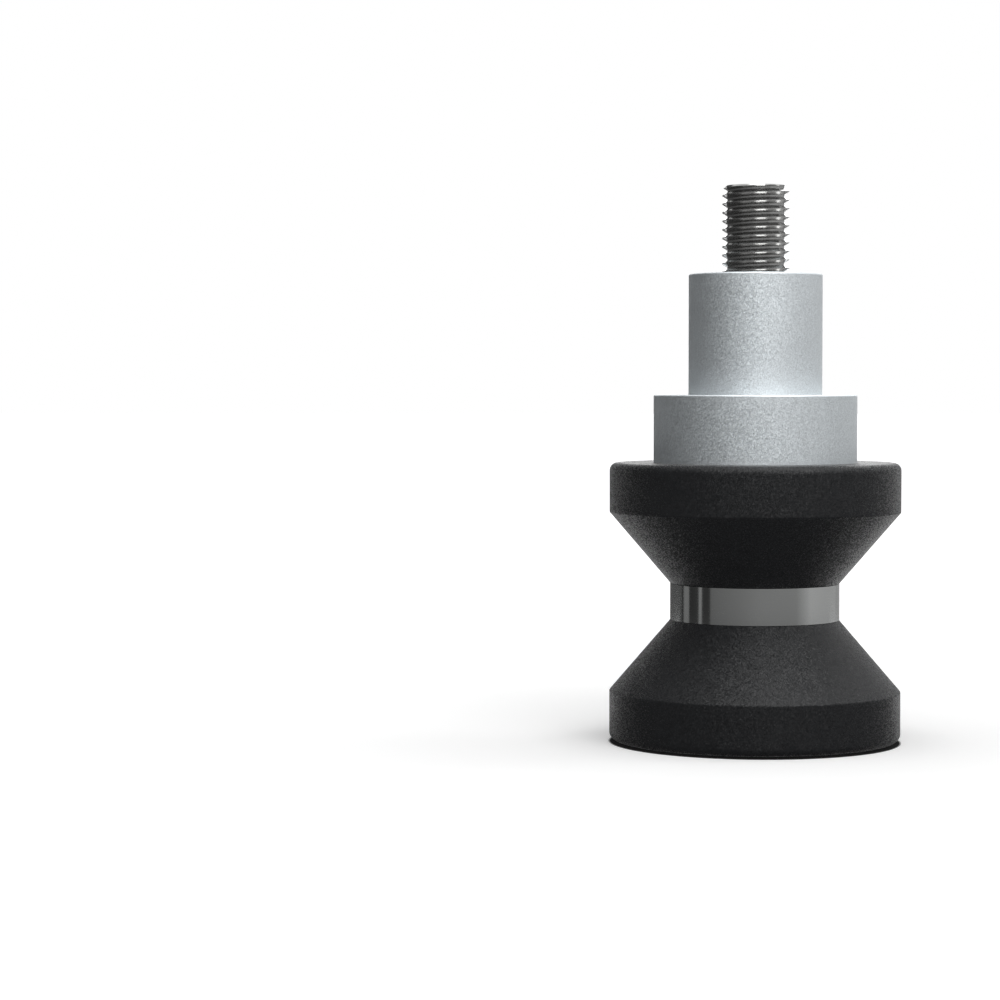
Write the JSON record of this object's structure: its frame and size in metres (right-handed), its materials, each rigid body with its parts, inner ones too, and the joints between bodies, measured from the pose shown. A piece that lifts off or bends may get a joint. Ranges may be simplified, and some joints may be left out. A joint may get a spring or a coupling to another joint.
{
  "type": "swingarm spool",
  "caption": "Offset paddock-stand spool for a motorbike's swingarm: black reel halves round a steel collar, a stepped aluminium spacer and a socket-head bolt.",
  "frame": {"origin": "on the spool's axis at its outer face, the face it stands on in the picture", "axes": "+Z along the axis from the outer face towards the threaded end; +X to the right and +Y away from the viewer in the picture"},
  "size_m": [0.043, 0.043, 0.0819],
  "materials": {
    "reel_plastic": "moulded black polyamide with a fine spark-eroded grain",
    "collar_steel": "fine-turned stainless steel, nearly polished",
    "sleeve_aluminium": "as turned",
    "spacer_aluminium": "bead-blasted, silver anodised",
    "bolt_steel": "zinc-plated, slightly dark"
  },
  "bodies": {
    "spool": {"outer_reel_half": "reel_plastic", "wear_collar": "collar_steel", "inner_reel_half": "reel_plastic", "flanged_sleeve": "sleeve_aluminium", "offset_spacer": "spacer_aluminium"},
    "bolt": {"clamp_bolt": "bolt_steel"}
  },
  "joints": [
    {"name": "bolt_turn", "type": "hinge", "parent": "spool", "child": "bolt", "pos_m": [0, 0, 0.0419], "axis": [0, 0, 1], "continuous": true}
  ]
}
